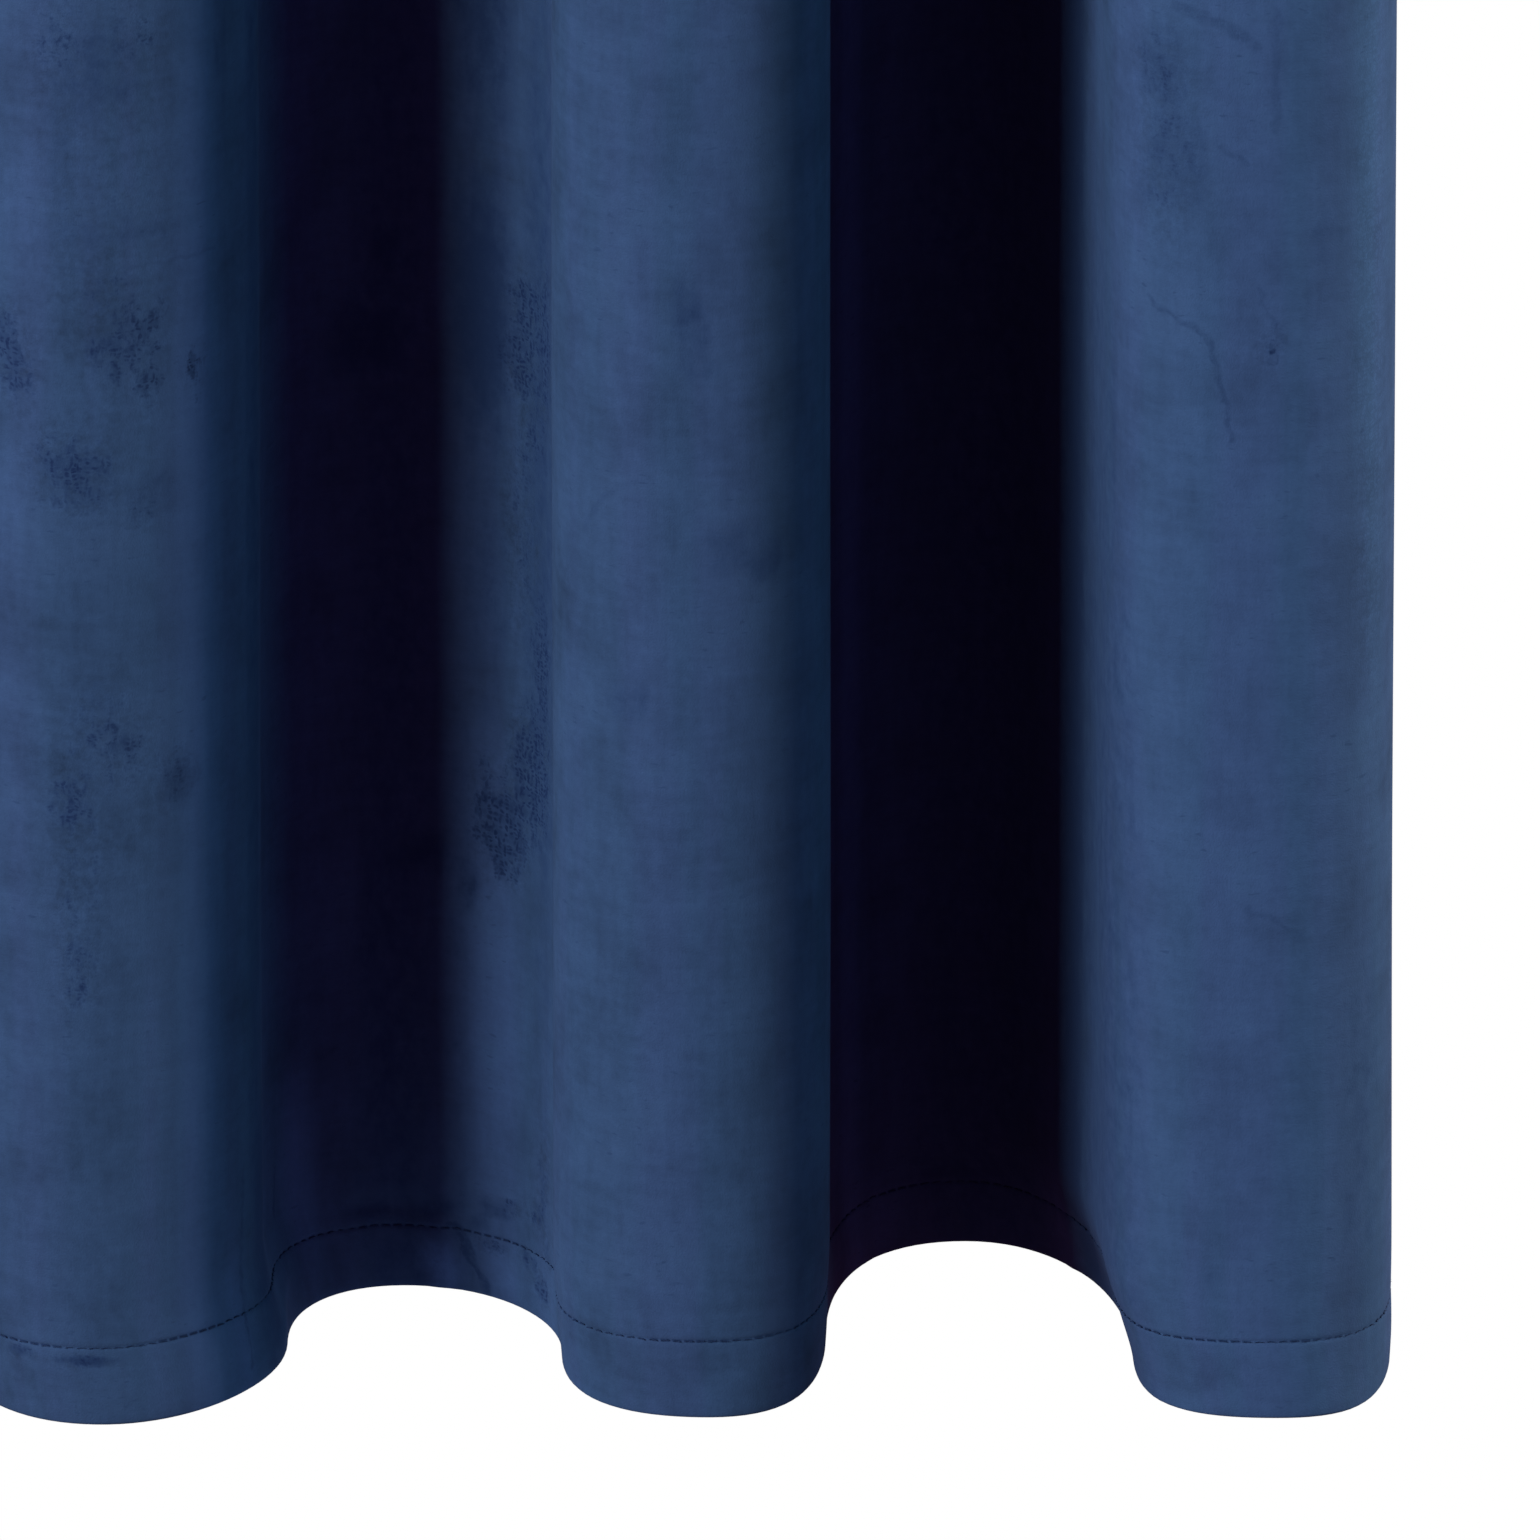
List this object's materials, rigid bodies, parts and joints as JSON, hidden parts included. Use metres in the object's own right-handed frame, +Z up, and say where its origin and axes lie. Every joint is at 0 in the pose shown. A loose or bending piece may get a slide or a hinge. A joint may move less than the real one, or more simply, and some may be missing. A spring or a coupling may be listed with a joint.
{
  "type": "curtain",
  "caption": "Curtain panel of plain pile cloth hanging in deep upright folds, with a narrow stitched hem, to cover a window or doorway.",
  "frame": {"origin": "middle of the top edge, on the line the panel hangs from, halfway through the depth of its folds", "axes": "+Z up along the drop, +X across the panel to the right as seen from its front, +Y from the front folds to the back folds"},
  "size_m": [0.6579, 0.1439, 2.1344],
  "materials": {
    "pile_cloth": "short soft pile, matte with a faint sheen"
  },
  "bodies": {
    "root": {"curtain_panel": "pile_cloth"}
  },
  "joints": []
}
